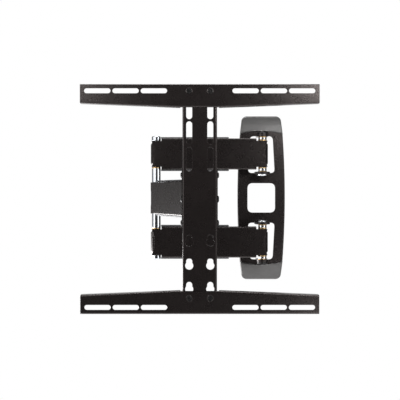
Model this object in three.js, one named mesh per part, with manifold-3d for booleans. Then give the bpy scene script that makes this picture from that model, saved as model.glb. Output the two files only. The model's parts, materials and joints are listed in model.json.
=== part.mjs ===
// Full motion television wall mount.
// Millimetres. +Z is up, +X is to the right seen from the room, +Y points into the wall.
// The origin is on the wall's surface at the middle of the wall plate.

import * as THREE from 'three';
import { mergeVertices } from 'three/addons/utils/BufferGeometryUtils.js';
import Module from 'manifold-3d';

const wasm = await Module();
wasm.setup();

// ---------------------------------------------------------------- driving dimensions

const GAP = 0.3; // air between pieces that rest on each other
const SHEET = 2.5; // arms, spine and rails
const RAD = Math.PI / 180;
const TURNED_SIDES = 16; // sides of a turned piece on a hinge axis
const BARREL_SIDES = 24; // sides of an arm's barrel
const SMALL_SIDES = 12; // sides of a bolt or nut on a cross axis
const ARC_STEPS = 4; // each drawn arc has twice as many chords

// wall plate
const PLATE_HALF_WIDTH = 53.2; // at mid height
const PLATE_SIDE_RADIUS = 1940; // the long sides are shallow arcs
const PLATE_END = 184; // half height over the end caps
const PLATE_DEPTH = 14; // the face stands this far off the wall
const PLATE_WALL = 3;
const PLATE_WINDOW = [31, 33]; // half width and half height of the middle window
const HINGE_WINDOW = { low: 56, high: 138.5, lowHalf: 30, highHalf: 25.5 };
const CAP_FROM = 142.7; // the caps cover the plate from here outwards
const CAP_DEPTH = 17;
const CAP_WALL = 2.4;
const CAP_CROWN_R = 104; // the front of a cap is part of a cylinder along X
const CAP_ARCH_RISE = 6.6;
const CAP_CORNER = 12;
const TAB_FROM = 148.9; // the plate steps back to the wall here
const TAB_TO = 177;
const TAB_HALF = 38;
const SCREW_ROW = 163; // middle of the wall screw slots

// hinge axes, seen from above
const WALL_AXIS_Y = -45;
const ARM_LENGTH = 234.5; // axis to axis, the same for rear and front arms
const FRONT_ARM_ANGLE = -65.8; // degrees from folded, as stored
const PIN_R = 6;
const BORE_R = PIN_R + GAP;
const BUSH_R = 8;
const BUSH_LENGTH = 14; // below the flange
const FLANGE = 2; // thickness of a bushing's flange
const RING_R = 9.8;
const SPACER_R = 9.3;
const PIN_HEAD_R = 10; // elbow and pan pins

// wall hinge stack, heights above the middle of the plate
const HINGE_NUT = [48.9, 52.9];
const EAR_INNER = [53.2, 57.9];
const INNER_WASHER = [58.2, 59.6];
const INNER_SPACER = [59.9, 65.2];
const WALL_BARREL = [67.8, 126.2];
const OUTER_SPACER = [128.8, 133.6];
const OUTER_WASHER = [133.9, 135.3];
const EAR_OUTER = [135.6, 140.3];
const HINGE_BOLT_HEAD = [140.6, 146];
const HINGE_BOLT_TIP = 50.8;
const HINGE_NUT_R = 10.4;
const EAR_INNER_R = 16.5;
const EAR_OUTER_R = 12.7;

// rear arms and elbow
const ARM_Z = 97;
const REAR_HALF = 34;
const ELBOW_BARREL = [68.2, 125.8];
const COVER_SPAN = [10.8, 160];
const ELBOW_CAP = [126.1, 136]; // the pin's head above, its cap nut below
const ELBOW_TIP = -132.8;

// front arm
const FRONT_HALF = 35.3;
const FRONT_BARREL = 31;
const FRONT_COVER_SPAN = [12.5, 190];

// pan head, measured from the pan axis
const PAN_EAR = [39.3, 42.8];
const PAN_EAR_R = 14;
const PAN_HEAD = [43.1, 47.6]; // the pan pin's head above, its nut below
const PAN_TIP = -45.8;
const YOKE_WEB = [-27, -23];
const CHEEK_OUT = 29.2;
const CHEEK_THICK = 3;
const TILT_Y = -41;
const GUIDE_RADIUS = 45;
const TILT_LIMIT = 12;
const PIVOT_R = 4;
const GUIDE_R = 3;

// spine and rails, measured from the pan axis
const SPINE_HALF = 32;
const SPINE_FRONT = -69.2;
const SPINE_BACK = -48;
const SPINE_LUG = -33;
const SPINE_Z = [-205, 209];
const HOLE_X = 19.5; // both hole rows of the spine
const RAIL_FRONT = -72;
const RAIL_BACK = -56;
const RAIL_HALF = 221;
const RAIL_EDGE = 212.5; // the straight outer edge of each rail
const RAIL_SLOT_ROW = 200; // the two slot rows are 400 mm apart
const RAIL_SLOT_STARTS = [64.8, 117, 169.2];
const RAIL_SLOT_LENGTH = 39.5; // between the centres of its round ends
const RAIL_SLOT_R = 4.6;
const RAIL_HEIGHT_MID = 42.8;
const RAIL_HEIGHT_END = 35.4;
const RAIL_FLAT = 38;
const RAIL_NOTCH = 36;
const LOWER_BOLT_Z = -183;

// ---------------------------------------------------------------- solids

function solid(geometry) {
  geometry.deleteAttribute('normal');
  geometry.deleteAttribute('uv');
  const merged = mergeVertices(geometry, 1e-4);
  return new wasm.Manifold(new wasm.Mesh({
    numProp: 3,
    vertProperties: new Float32Array(merged.attributes.position.array),
    triVerts: new Uint32Array(merged.index.array),
  }));
}

function geometryOf(manifold) {
  const mesh = manifold.getMesh();
  const geometry = new THREE.BufferGeometry();
  geometry.setAttribute('position', new THREE.BufferAttribute(mesh.vertProperties, 3));
  geometry.setIndex(new THREE.BufferAttribute(mesh.triVerts, 1));
  geometry.computeVertexNormals();
  return geometry;
}

function join(...solids) {
  return solids.reduce((sum, next) => sum.add(next));
}

function cut(body, ...tools) {
  return tools.reduce((left, tool) => left.subtract(tool), body);
}

function box([x0, x1], [y0, y1], [z0, z1]) {
  const geometry = new THREE.BoxGeometry(Math.abs(x1 - x0), Math.abs(y1 - y0), Math.abs(z1 - z0));
  geometry.translate((x0 + x1) / 2, (y0 + y1) / 2, (z0 + z1) / 2);
  return solid(geometry);
}

function extrude(shape, depth, curveSegments) {
  return new THREE.ExtrudeGeometry(shape, { depth, curveSegments, bevelEnabled: false });
}

// a shape drawn in x and y, standing from z0 to z1
function slabZ(shape, [z0, z1], curveSegments = ARC_STEPS) {
  return solid(extrude(shape, z1 - z0, curveSegments).translate(0, 0, z0));
}

// a shape drawn in x and z, from y0 back to y1
function slabY(shape, [y0, y1], curveSegments = ARC_STEPS) {
  return solid(extrude(shape, y1 - y0, curveSegments).rotateX(Math.PI / 2).translate(0, y1, 0));
}

// a shape drawn in y and z, from x0 to x1
const DRAWN_YZ = new THREE.Matrix4().makeBasis(
  new THREE.Vector3(0, 1, 0),
  new THREE.Vector3(0, 0, 1),
  new THREE.Vector3(1, 0, 0),
);

function slabX(shape, [x0, x1], curveSegments = ARC_STEPS) {
  return solid(extrude(shape, x1 - x0, curveSegments).applyMatrix4(DRAWN_YZ).translate(x0, 0, 0));
}

// a turned piece on a vertical axis, from [radius, height] points listed upwards on the outside
function turned(profile, x = 0, y = 0, segments = TURNED_SIDES) {
  const points = profile.map(([r, z]) => new THREE.Vector2(r, z));
  const geometry = new THREE.LatheGeometry(points, segments);
  return solid(geometry.rotateX(Math.PI / 2).translate(x, y, 0));
}

function rod(r, [z0, z1], x = 0, y = 0, segments = TURNED_SIDES) {
  return turned([[0, z0], [r, z0], [r, z1], [0, z1]], x, y, segments);
}

function ring(inner, outer, [z0, z1]) {
  return turned([[inner, z0], [outer, z0], [outer, z1], [inner, z1], [inner, z0]]);
}

// a turned piece on an axis along Y, from [radius, y] points
function turnedY(profile, x, z, segments = SMALL_SIDES) {
  const points = profile.map(([r, y]) => new THREE.Vector2(r, y));
  return solid(new THREE.LatheGeometry(points, segments).translate(x, 0, z));
}

// a turned piece on an axis along X, from [radius, x] points
function turnedX(profile, y, z, segments = SMALL_SIDES) {
  const points = profile.map(([r, x]) => new THREE.Vector2(r, x));
  const geometry = new THREE.LatheGeometry(points, segments).rotateZ(-Math.PI / 2);
  return solid(geometry.translate(0, y, z));
}

function polygon(points) {
  return new THREE.Shape(points.map(([u, v]) => new THREE.Vector2(u, v)));
}

// a slot with round ends, drawn from one end's centre to the other's
function slotShape(u0, v0, u1, v1, r) {
  const angle = Math.atan2(v1 - v0, u1 - u0);
  const shape = new THREE.Shape();
  shape.absarc(u1, v1, r, angle - Math.PI / 2, angle + Math.PI / 2, false);
  shape.absarc(u0, v0, r, angle + Math.PI / 2, angle + Math.PI * 1.5, false);
  return shape;
}

function roundedPolygon(points, r) {
  const shape = new THREE.Shape();
  const count = points.length;
  points.forEach(([u, v], i) => {
    const before = points[(i + count - 1) % count];
    const after = points[(i + 1) % count];
    const towards = ([a, b]) => {
      const length = Math.hypot(a - u, b - v);
      return [u + ((a - u) * r) / length, v + ((b - v) * r) / length];
    };
    const start = towards(before);
    if (i === 0) shape.moveTo(...start);
    else shape.lineTo(...start);
    shape.quadraticCurveTo(u, v, ...towards(after));
  });
  shape.closePath();
  return shape;
}

function spanOf(side, a, b) {
  return [Math.min(side * a, side * b), Math.max(side * a, side * b)];
}

// ---------------------------------------------------------------- wall plate and caps

function sideAt(z) {
  const drop = PLATE_SIDE_RADIUS - Math.sqrt(PLATE_SIDE_RADIUS ** 2 - z ** 2);
  return PLATE_HALF_WIDTH - drop;
}

// the plate's outline out to a height, moved inwards by an inset
function plateOutline(z, inset) {
  const shape = new THREE.Shape();
  const r = PLATE_SIDE_RADIUS - inset;
  const angle = Math.asin(z / r);
  const offset = PLATE_SIDE_RADIUS - PLATE_HALF_WIDTH;
  shape.absarc(-offset, 0, r, -angle, angle, false);
  shape.absarc(offset, 0, r, Math.PI - angle, Math.PI + angle, false);
  return shape;
}

function hingeWindow(side) {
  const { low, high, lowHalf, highHalf } = HINGE_WINDOW;
  const points = [[lowHalf, low], [highHalf, high], [-highHalf, high], [-lowHalf, low]];
  return roundedPolygon(points.map(([x, z]) => [x, side * z]), 9);
}

function hingeEar(r, span) {
  const shape = new THREE.Shape();
  shape.moveTo(r, -PLATE_DEPTH + PLATE_WALL);
  shape.lineTo(-r, -PLATE_DEPTH + PLATE_WALL);
  shape.lineTo(-r, WALL_AXIS_Y);
  shape.absarc(0, WALL_AXIS_Y, r, Math.PI, Math.PI * 2, false);
  return slabZ(shape, span, 8);
}

// the flat tab behind a cap, with its wall screw slots
function wallTab(side) {
  const corners = [
    [TAB_HALF, TAB_FROM - 1], [TAB_HALF, TAB_TO], [-TAB_HALF, TAB_TO], [-TAB_HALF, TAB_FROM - 1],
  ];
  const tab = slabY(roundedPolygon(corners.map(([x, z]) => [x, side * z]), 9), [-PLATE_WALL, 0]);
  const row = side * SCREW_ROW;
  const slots = [slotShape(0, row - 4.5, 0, row + 4.5, 4.5)];
  for (const x of [-28, 28]) slots.push(slotShape(x - 3, row, x + 3, row, 4));
  return cut(tab, ...slots.map((shape) => slabY(shape, [-PLATE_WALL - 1, 1])));
}

function wallPlate() {
  const face = [-PLATE_DEPTH, 0];
  const behind = [-PLATE_DEPTH + PLATE_WALL, 1];
  const through = [-PLATE_DEPTH - 5, 1];
  const tray = cut(
    join(
      slabY(plateOutline(CAP_FROM - GAP, 0), face),
      slabY(plateOutline(TAB_FROM + PLATE_WALL, PLATE_WALL), face),
    ),
    slabY(plateOutline(CAP_FROM - GAP - PLATE_WALL, PLATE_WALL), behind),
    slabY(plateOutline(TAB_FROM, PLATE_WALL * 2), behind),
  );
  const [halfWide, halfTall] = PLATE_WINDOW;
  const middle = [[halfWide, -halfTall], [halfWide, halfTall], [-halfWide, halfTall], [-halfWide, -halfTall]];
  const windows = [slabY(roundedPolygon(middle, 12), through)];
  const added = [];
  const bores = [];
  for (const side of [1, -1]) {
    windows.push(slabY(hingeWindow(side), through));
    added.push(wallTab(side));
    for (const [r, [low, high]] of [[EAR_INNER_R, EAR_INNER], [EAR_OUTER_R, EAR_OUTER]]) {
      added.push(hingeEar(r, spanOf(side, low, high)));
      bores.push(rod(BORE_R, spanOf(side, low - 1, high + 1), 0, WALL_AXIS_Y));
    }
  }
  return cut(join(cut(tray, ...windows), ...added), ...bores);
}

// the outline of a cap, from its arched edge to the rounded end of the plate
function capOutline(side, inset, from) {
  const corner = CAP_CORNER - inset;
  const top = PLATE_END - inset;
  const half = sideAt(from) - inset;
  const cornerX = sideAt(top) - inset - corner;
  const cornerZ = side * (top - corner);
  const archR = (half ** 2 + CAP_ARCH_RISE ** 2) / (2 * CAP_ARCH_RISE);
  const archZ = side * (from + CAP_ARCH_RISE - archR);
  const archAngle = Math.asin(half / archR);
  const quarter = (side * Math.PI) / 2;
  const shape = new THREE.Shape();
  shape.moveTo(half, side * from);
  shape.absarc(cornerX, cornerZ, corner, 0, quarter, side < 0);
  shape.absarc(-cornerX, cornerZ, corner, quarter, quarter * 2, side < 0);
  shape.lineTo(-half, side * from);
  shape.absarc(0, archZ, archR, quarter + side * archAngle, quarter - side * archAngle, side > 0);
  return shape;
}

// the front of a cap falls away from its arched edge towards the end of the plate
function endCap(side) {
  const centreY = CAP_CROWN_R - CAP_DEPTH;
  const crown = (r) => turnedX([[0, -60], [r, -60], [r, 60], [0, 60]], centreY, side * CAP_FROM, 80);
  const outline = capOutline(side, 0, CAP_FROM);
  const outer = slabY(outline, [-CAP_DEPTH - 1, -GAP]).intersect(crown(CAP_CROWN_R));
  const inner = slabY(capOutline(side, CAP_WALL, CAP_FROM - 8), [-CAP_DEPTH - 1, 1]);
  return cut(outer, inner.intersect(crown(CAP_CROWN_R - CAP_WALL)));
}

// ---------------------------------------------------------------- hinge fittings

// a bolt with a round socket head from z0 to z1; its shank runs down from z0 to the tip
function hingeBolt(side, headR, [z0, z1], tip) {
  const [tipEase, headEase, socketR, socketDepth] = [0.8, 1.5, 4, 3];
  const profile = [[0, tip], [PIN_R - tipEase, tip], [PIN_R, tip + tipEase], [PIN_R, z0], [headR, z0]];
  profile.push([headR, z1 - headEase], [headR - headEase, z1], [socketR, z1]);
  profile.push([socketR, z1 - socketDepth], [0, z1 - socketDepth]);
  return side > 0 ? turned(profile) : turned(upsideDown(profile));
}

function upsideDown(profile) {
  return profile.map(([r, z]) => [r, -z]).reverse();
}

// a blind domed nut whose mouth faces away from the middle of the mount
function domedNut(side, r, [z0, z1], depth) {
  const profile = [[0, z0], [r * 0.55, z0], [r * 0.9, z0 + 1], [r, z0 + 2.4], [r, z1]];
  profile.push([BORE_R, z1], [BORE_R, z1 - depth], [0, z1 - depth]);
  return side > 0 ? turned(profile) : turned(upsideDown(profile));
}

// a bushing whose flange rests on the end of a barrel; up is the way the flange faces
function bushing(up, flangeAt) {
  const start = flangeAt - BUSH_LENGTH;
  const end = flangeAt + FLANGE;
  const profile = [[BORE_R, start], [BUSH_R, start], [BUSH_R, flangeAt], [RING_R, flangeAt]];
  profile.push([RING_R, end], [BORE_R, end], [BORE_R, start]);
  return up > 0 ? turned(profile) : turned(upsideDown(profile));
}

// ---------------------------------------------------------------- arms

// An arm runs along +X from its first axis to its second. Its folded channel has the web on the -Y
// side; a narrower end section and a turned barrel carry each hinge.
const ARM_FRONT = -13;
const ARM_BACK = 12;
const BARREL_R = 12;
const ARC_END_R = 62; // the web ends in a shallow hollow arc

function barrel(x, [z0, z1]) {
  const neck = 9.5;
  const shoulder = BARREL_R - 0.6;
  const lower = [[0, z0], [neck, z0], [neck, z0 + 5], [shoulder, z0 + 7], [BARREL_R, z0 + 9]];
  const upper = lower.map(([r, z]) => [r, z0 + z1 - z]).reverse();
  return turned([...lower, ...upper], x, 0, BARREL_SIDES);
}

// the shallow hollow at the end of an arm's web, as a short cylinder along Y
function arcEnd(x, z) {
  const [front, back] = [ARM_FRONT - 1, ARM_FRONT + SHEET];
  return turnedY([[0, front], [ARC_END_R, front], [ARC_END_R, back], [0, back]], x, z, 64);
}

function armChannel(half, ends) {
  const body = cut(
    box([14, ARM_LENGTH - 14], [ARM_FRONT, ARM_BACK], [-half, half]),
    box([14 + SHEET, ARM_LENGTH - 14 - SHEET], [ARM_FRONT + SHEET, 30], [SHEET - half, half - SHEET]),
  );
  const parts = [body];
  const tools = [];
  for (const { x, way, barrelZ, web, past, bite } of ends) {
    const [low, high] = barrelZ;
    parts.push(barrel(x, barrelZ));
    const reach = spanOf(1, x - way * past, x + way * 15);
    parts.push(box(reach, [ARM_FRONT, ARM_FRONT + SHEET], web));
    for (const z of [low + 9, high - 9 - SHEET]) {
      parts.push(box(spanOf(1, x, x + way * 15), [ARM_FRONT, 9], [z, z + SHEET]));
    }
    tools.push(rod(BUSH_R + GAP, [low - 1, high + 1], x, 0));
    tools.push(arcEnd(x - way * (past + ARC_END_R - bite), (low + high) / 2));
  }
  return { parts, tools };
}

function rearArm(side) {
  const around = ([low, high]) => spanOf(side, low - ARM_Z, high - ARM_Z);
  const webOf = ([low, high]) => around([low + 0.5, high - 0.5]);
  const [elbow, wall] = [ELBOW_BARREL, WALL_BARREL];
  const ends = [
    { x: 0, way: 1, barrelZ: around(elbow), web: webOf(elbow), past: 10, bite: 7 },
    { x: ARM_LENGTH, way: -1, barrelZ: around(wall), web: webOf(wall), past: 10, bite: 6 },
  ];
  const { parts, tools } = armChannel(REAR_HALF, ends);
  return cut(join(...parts), ...tools);
}

function frontArm() {
  const span = [-FRONT_BARREL, FRONT_BARREL];
  const web = [1 - FRONT_HALF, FRONT_HALF - 1];
  const ends = [
    { x: 0, way: 1, barrelZ: span, web, past: 1, bite: 3 },
    { x: ARM_LENGTH, way: -1, barrelZ: span, web, past: 8, bite: 5 },
  ];
  const { parts, tools } = armChannel(FRONT_HALF, ends);
  return cut(join(...parts), ...tools);
}

// a clip-on cover over the open back of an arm; its long lips grip the arm's flanges from outside
function cableCover(half, [x0, x1]) {
  const wall = 3;
  const back = ARM_BACK + GAP + 2;
  const outer = half + GAP + wall;
  const inner = half + GAP;
  const shell = cut(
    box([x0, x1], [-5, back], [-outer, outer]),
    box([x0 - 1, x1 + 1], [-6, ARM_BACK + GAP], [-inner, inner]),
  );
  const cableMouth = slotShape(x1 - 22, 0, x1 + 10, 0, 11);
  return cut(shell, slabY(cableMouth, [ARM_BACK, back + 1]));
}

// ---------------------------------------------------------------- pan head

function arcSlot(v, mid) {
  const half = GUIDE_R + GAP;
  const spread = (TILT_LIMIT + 0.6) * RAD;
  const at = (angle) => [TILT_Y + GUIDE_RADIUS * Math.cos(angle), v + GUIDE_RADIUS * Math.sin(angle)];
  const [from, to] = [mid - spread, mid + spread];
  const shape = new THREE.Shape();
  shape.absarc(TILT_Y, v, GUIDE_RADIUS + half, from, to, false);
  shape.absarc(...at(to), half, to, to + Math.PI, false);
  shape.absarc(TILT_Y, v, GUIDE_RADIUS - half, to, from, true);
  shape.absarc(...at(from), half, from + Math.PI, from + Math.PI * 2, false);
  return shape;
}

function panYoke() {
  const [webFront, webBack] = YOKE_WEB;
  const inside = CHEEK_OUT - CHEEK_THICK;
  const cheekShape = roundedPolygon([
    [webBack, -50], [webBack, 50], [-30, 53], [-50, 53], [-57, 45], [-62, 15],
    [-62, -15], [-57, -45], [-50, -53], [-30, -53],
  ], 3);
  const parts = [box([-CHEEK_OUT, CHEEK_OUT], [webFront, webBack], [-PAN_EAR[1], PAN_EAR[1]])];
  for (const side of [1, -1]) {
    parts.push(slabX(cheekShape, spanOf(side, inside, CHEEK_OUT), 3));
    const ear = new THREE.Shape();
    ear.moveTo(-22, webBack);
    ear.lineTo(22, webBack);
    ear.lineTo(PAN_EAR_R, -4);
    ear.absarc(0, 0, PAN_EAR_R, 0, Math.PI, false);
    ear.lineTo(-PAN_EAR_R, -4);
    parts.push(slabZ(ear, spanOf(side, ...PAN_EAR), 8));
  }
  const across = [-CHEEK_OUT - 1, CHEEK_OUT + 1];
  const pivot = slotShape(TILT_Y, 0, TILT_Y, 0, PIVOT_R + GAP);
  return cut(
    join(...parts),
    rod(BORE_R, [-PAN_EAR[1] - 1, PAN_EAR[1] + 1]),
    slabX(pivot, across),
    slabX(arcSlot(0, Math.PI / 2), across),
    slabX(arcSlot(0, Math.PI * 1.5), across),
    slabY(slotShape(-8, 0, 8, 0, 9), [webFront - 1, webBack + 1]),
  );
}

// ---------------------------------------------------------------- tilt fittings and spine

const GUIDE_PLATE_WALL = 1.2;
const PLATE_OUT = SPINE_HALF + GAP + GUIDE_PLATE_WALL;
const HEAD_IN = PLATE_OUT + GAP;
const HEAD_HIGH = 2.6; // domed heads stand this far off the guide plates

// a bolt across the spine: domed head on the left, its end in a domed nut on the right
function crossBolt(r, z) {
  const headR = r + HEAD_HIGH;
  const left = -HEAD_IN - HEAD_HIGH;
  const profile = [[0, left], [r, left], [headR - 0.8, left + 0.8], [headR, left + 2]];
  profile.push([headR, -HEAD_IN], [r, -HEAD_IN], [r, HEAD_IN - 2], [0, HEAD_IN - 2]);
  return turnedX(profile, TILT_Y, z);
}

function crossNut(r, z) {
  const bore = r + GAP;
  const collar = bore + 1;
  const headR = r + HEAD_HIGH;
  const right = HEAD_IN + HEAD_HIGH;
  const profile = [[bore, HEAD_IN - 1], [collar, HEAD_IN - 1], [collar, HEAD_IN], [headR, HEAD_IN]];
  profile.push([headR, right - 2], [headR - 0.8, right - 0.8], [r, right], [0, right]);
  profile.push([0, right - 1], [bore, right - 1], [bore, HEAD_IN - 1]);
  return turnedX(profile, TILT_Y, z);
}

const CROSS_BOLTS = [
  { name: 'pivot', r: PIVOT_R, z: 0 },
  { name: 'upper_guide', r: GUIDE_R, z: GUIDE_RADIUS },
  { name: 'lower_guide', r: GUIDE_R, z: -GUIDE_RADIUS },
];

// holes with room for the collars of the cross nuts
function crossHoles(span) {
  const room = GAP + 1.3;
  return CROSS_BOLTS.map(({ r, z }) => slabX(slotShape(TILT_Y, z, TILT_Y, z, r + room), span));
}

function keyhole(x, top) {
  const [narrow, wide, tall] = [5.6, 7.5, 21];
  const low = top - tall + wide;
  const neck = Math.asin(narrow / wide);
  const shape = new THREE.Shape();
  shape.absarc(x, top - narrow, narrow, 0, Math.PI, false);
  shape.absarc(x, low, wide, Math.PI / 2 + neck, Math.PI * 2.5 - neck, false);
  return shape;
}

// the side of a spine flange, which runs back into a lug round the cross bolts
function flangeSide() {
  const [low, high] = SPINE_Z;
  return polygon([
    [SPINE_FRONT, low], [SPINE_BACK, low], [SPINE_BACK, -64], [SPINE_LUG, -54], [SPINE_LUG, 54],
    [SPINE_BACK, 64], [SPINE_BACK, high], [SPINE_FRONT, high],
  ]);
}

function spine() {
  const inside = SPINE_HALF - SHEET;
  const parts = [box([-SPINE_HALF, SPINE_HALF], [SPINE_FRONT, SPINE_FRONT + SHEET], SPINE_Z)];
  for (const side of [1, -1]) parts.push(slabX(flangeSide(), spanOf(side, inside, SPINE_HALF)));
  const holes = [];
  for (const x of [-HOLE_X, HOLE_X]) {
    holes.push(slotShape(x, 153.5, x, RAIL_SLOT_ROW, 5.5));
    holes.push(slotShape(x, 107.2, x, 138.5, 5.5));
    holes.push(slotShape(x, 57.5, x, 91, 5.5));
    for (const top of [-66, -109.5, -153]) holes.push(keyhole(x, top));
    holes.push(slotShape(x, LOWER_BOLT_Z, x, LOWER_BOLT_Z, 3.5));
  }
  const through = [SPINE_FRONT - 1, SPINE_FRONT + SHEET + 1];
  return cut(
    join(...parts),
    ...holes.map((shape) => slabY(shape, through)),
    ...crossHoles([-SPINE_HALF - 1, SPINE_HALF + 1]),
  );
}

function guidePlate(side) {
  const outline = roundedPolygon([
    [-64, -108], [-49, -108], [-49, -64], [SPINE_LUG, -53], [SPINE_LUG, 53], [-49, 58], [-64, 58],
  ], 3);
  const [low, high] = spanOf(side, SPINE_HALF + GAP, PLATE_OUT);
  return cut(slabX(outline, [low, high], 3), ...crossHoles([low - 1, high + 1]));
}

// ---------------------------------------------------------------- rails

const BOLT_R = 3;
const BOLT_HEAD_R = 5.6;
const BOLT_LENGTH = 11; // from the front of the spine

function railOutline(side, inset, endX) {
  const edge = RAIL_EDGE - inset;
  const mid = RAIL_EDGE - RAIL_HEIGHT_MID + inset;
  const end = RAIL_EDGE - RAIL_HEIGHT_END + inset;
  const points = [
    [endX, edge], [-endX, edge], [-endX, end], [-RAIL_FLAT, mid], [RAIL_FLAT, mid], [endX, end],
  ];
  return polygon(points.map(([x, z]) => [x, side * z]));
}

function rail(side, boltZ) {
  const web = [RAIL_FRONT, RAIL_FRONT + SHEET];
  const through = [RAIL_FRONT - 1, RAIL_FRONT + SHEET + 1];
  const tools = [
    slabY(railOutline(side, SHEET, RAIL_HALF + 5), [web[1], RAIL_BACK + 1]),
    box([-RAIL_NOTCH, RAIL_NOTCH], [web[1], RAIL_BACK + 1], spanOf(side, 150, 220)),
  ];
  const row = side * RAIL_SLOT_ROW;
  const bore = BOLT_R + GAP;
  const sunk = [[0, through[0]], [BOLT_HEAD_R + GAP + 1, through[0]], [bore, web[1]]];
  for (const end of [1, -1]) {
    for (const start of RAIL_SLOT_STARTS) {
      const slot = slotShape(end * start, row, end * (start + RAIL_SLOT_LENGTH), row, RAIL_SLOT_R);
      tools.push(slabY(slot, through));
    }
    tools.push(turnedY([...sunk, [bore, through[1]], [0, through[1]]], end * HOLE_X, boltZ));
  }
  return cut(slabY(railOutline(side, 0, RAIL_HALF), [RAIL_FRONT, RAIL_BACK]), ...tools);
}

// a countersunk bolt with a round socket, flush with the front of the rail
function railBolt(x, z) {
  const front = RAIL_FRONT + GAP;
  const end = SPINE_FRONT + BOLT_LENGTH;
  const profile = [[0, front + 1.6], [2, front + 1.6], [2, front], [BOLT_HEAD_R - 0.3, front]];
  profile.push([BOLT_R, front + SHEET - 0.2], [BOLT_R, end], [0, end]);
  return turnedY(profile, x, z);
}

function flangeNut(x, z) {
  const seat = SPINE_FRONT + SHEET + GAP;
  const disc = (r, from, to, sides) => {
    const profile = [[0, seat + from], [r, seat + from], [r, seat + to], [0, seat + to]];
    return turnedY(profile, x, z, sides);
  };
  const body = join(disc(8.6, 0, 1.4), disc(6, 1, 6, 6));
  return cut(body, disc(BOLT_R + GAP, -1, 7));
}

// ---------------------------------------------------------------- materials

function material(color, roughness, metalness) {
  return new THREE.MeshStandardMaterial({ color, roughness, metalness });
}

const blackSteel = material(0x1d1b1b, 0.45, 0.6);
const boltBlack = material(0x141414, 0.35, 0.7);
const chrome = material(0xd8dde2, 0.12, 1);
const brass = material(0xc9a15a, 0.3, 1);
const capGrey = material(0x6f6e6e, 0.35, 0.5);
const coverGrey = material(0x3a3a3c, 0.5, 0.1);

// ---------------------------------------------------------------- assembly

const mount = new THREE.Group();
const wallHinge = new THREE.Group();
wallHinge.position.set(0, WALL_AXIS_Y, 0);
const elbow = new THREE.Group();
elbow.position.set(-ARM_LENGTH, WALL_AXIS_Y, 0);
const frontArmGroup = new THREE.Group();
frontArmGroup.rotation.z = FRONT_ARM_ANGLE * RAD;
elbow.add(frontArmGroup);
const head = new THREE.Group();
head.position.set(
  -ARM_LENGTH + ARM_LENGTH * Math.cos(FRONT_ARM_ANGLE * RAD),
  WALL_AXIS_Y + ARM_LENGTH * Math.sin(FRONT_ARM_ANGLE * RAD),
  0,
);
mount.add(wallHinge, elbow, head);

function piece(parent, name, body, finish, position = [0, 0, 0]) {
  const mesh = new THREE.Mesh(geometryOf(body), finish);
  mesh.name = name;
  mesh.position.set(...position);
  parent.add(mesh);
}

piece(mount, 'wall_plate', wallPlate(), blackSteel);

for (const [side, level] of [[1, 'upper'], [-1, 'lower']]) {
  piece(mount, `${level}_end_cap`, endCap(side), capGrey);

  // wall hinge stack
  const stack = ([low, high]) => spanOf(side, low, high);
  const [barrelLow, barrelHigh] = WALL_BARREL;
  const bolt = hingeBolt(side, BARREL_R, HINGE_BOLT_HEAD, HINGE_BOLT_TIP);
  piece(wallHinge, `${level}_hinge_bolt`, bolt, boltBlack);
  piece(wallHinge, `${level}_hinge_nut`, domedNut(side, HINGE_NUT_R, HINGE_NUT, 2.6), chrome);
  piece(wallHinge, `${level}_hinge_outer_washer`, ring(BORE_R, RING_R, stack(OUTER_WASHER)), brass);
  piece(wallHinge, `${level}_hinge_outer_spacer`, ring(BORE_R, SPACER_R, stack(OUTER_SPACER)), chrome);
  piece(wallHinge, `${level}_hinge_inner_spacer`, ring(BORE_R, SPACER_R, stack(INNER_SPACER)), chrome);
  piece(wallHinge, `${level}_hinge_inner_washer`, ring(BORE_R, RING_R, stack(INNER_WASHER)), brass);
  piece(wallHinge, `${level}_hinge_outer_bushing`, bushing(side, barrelHigh + GAP), brass);
  piece(wallHinge, `${level}_hinge_inner_bushing`, bushing(-side, GAP - barrelLow), brass);

  // rear arm, its cable cover and its fittings at the elbow
  const raised = [0, 0, side * ARM_Z];
  const elbowLow = ELBOW_BARREL[0];
  const overFront = FRONT_BARREL + FLANGE + 2 * GAP;
  const elbowSpacer = ring(BORE_R, RING_R, stack([overFront, elbowLow - FLANGE - 2 * GAP]));
  piece(elbow, `${level}_rear_arm`, rearArm(side), blackSteel, raised);
  piece(elbow, `${level}_cable_cover`, cableCover(REAR_HALF, COVER_SPAN), coverGrey, raised);
  piece(elbow, `${level}_elbow_bushing`, bushing(-side, GAP - elbowLow), brass);
  piece(elbow, `${level}_elbow_spacer`, elbowSpacer, chrome);

  // front arm bushings and pan spacers
  const farEnd = [ARM_LENGTH, 0, 0];
  const panSpacer = ring(BORE_R, RING_R, stack([overFront, PAN_EAR[0] - GAP]));
  piece(frontArmGroup, `${level}_front_bushing`, bushing(side, FRONT_BARREL + GAP), brass);
  piece(frontArmGroup, `${level}_pan_bushing`, bushing(side, FRONT_BARREL + GAP), brass, farEnd);
  piece(head, `${level}_pan_spacer`, panSpacer, chrome);
}

// one pin through both rear arms and the front arm
const below = ([low, high]) => [-high, -low];
piece(elbow, 'elbow_pin', hingeBolt(1, PIN_HEAD_R, ELBOW_CAP, ELBOW_TIP), chrome);
piece(elbow, 'elbow_cap_nut', domedNut(1, PIN_HEAD_R, below(ELBOW_CAP), 7.5), chrome);

piece(frontArmGroup, 'front_arm', frontArm(), blackSteel);
piece(frontArmGroup, 'front_cable_cover', cableCover(FRONT_HALF, FRONT_COVER_SPAN), coverGrey);

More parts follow.
